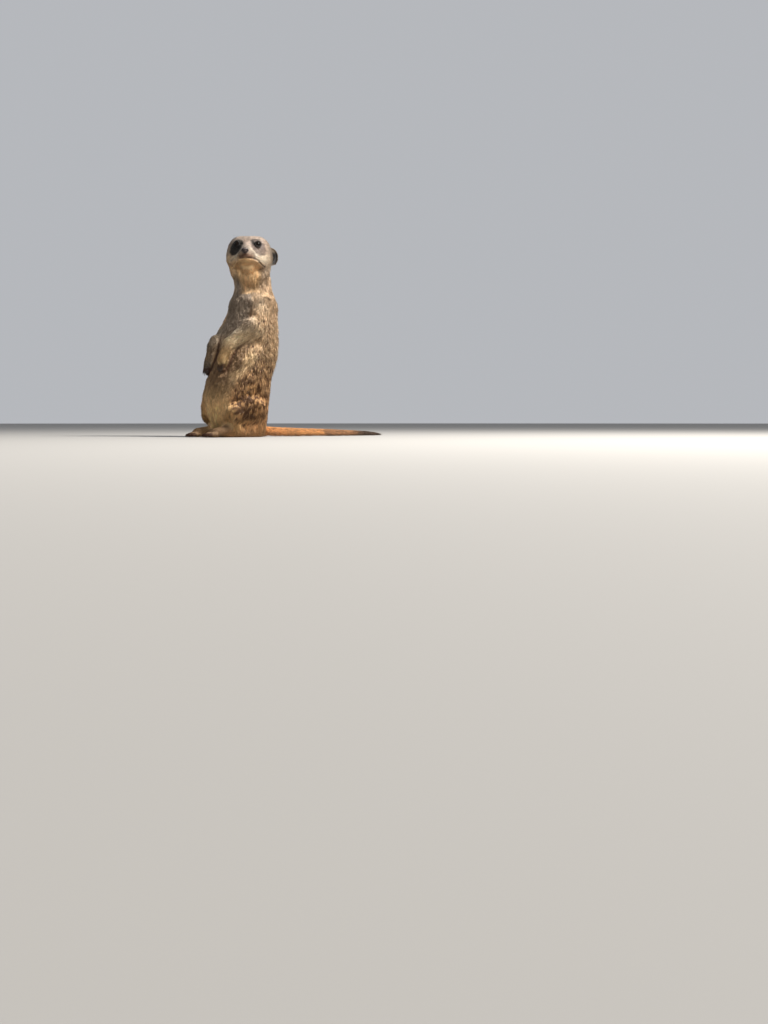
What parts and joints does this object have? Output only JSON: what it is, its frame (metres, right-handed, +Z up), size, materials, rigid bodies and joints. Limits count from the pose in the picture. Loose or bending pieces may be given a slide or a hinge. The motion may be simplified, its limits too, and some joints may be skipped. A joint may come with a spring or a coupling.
{
  "type": "meerkat",
  "caption": "Life-size still model of a meerkat sitting upright on its haunches, hands on its belly, head turned to its left, tail straight behind.",
  "frame": {"origin": "middle of the flat under the rump that the animal sits on, at floor level", "axes": "+Z up, the animal's body faces -Y and its left side is +X; the tail runs along +Y"},
  "size_m": [0.1012, 0.3481, 0.2821],
  "materials": {
    "coat": "coarse buff fur with dark brown ticking",
    "head_coat": "short pale fur, dark patches round the eyes",
    "tail_coat": "short rusty fur with a dark tip",
    "ear": "short black-brown fur with a pale rim",
    "nose": "damp dark brown bare skin",
    "eye": "wet, dark brown",
    "claw": "dark horn"
  },
  "bodies": {
    "root": {"head": "head_coat", "nose": "nose", "eye_left": "eye", "eye_right": "eye", "ear_left": "ear", "ear_right": "ear", "neck": "coat", "chest": "coat", "belly": "coat", "pelvis": "coat", "upper_arm_left": "coat", "forearm_left": "coat", "hand_left": "coat", "thigh_left": "coat", "shank_left": "coat", "foot_left": "coat", "upper_arm_right": "coat", "forearm_right": "coat", "hand_right": "coat", "thigh_right": "coat", "shank_right": "coat", "foot_right": "coat", "tail_base": "tail_coat", "tail_middle": "tail_coat", "tail_tip": "tail_coat", "hand_left_claw_1": "claw", "hand_left_claw_2": "claw", "hand_left_claw_3": "claw", "hand_left_claw_4": "claw", "hand_right_claw_1": "claw", "hand_right_claw_2": "claw", "hand_right_claw_3": "claw", "hand_right_claw_4": "claw", "foot_left_claw_1": "claw", "foot_left_claw_2": "claw", "foot_left_claw_3": "claw", "foot_left_claw_4": "claw", "foot_right_claw_1": "claw", "foot_right_claw_2": "claw", "foot_right_claw_3": "claw", "foot_right_claw_4": "claw"}
  },
  "joints": []
}
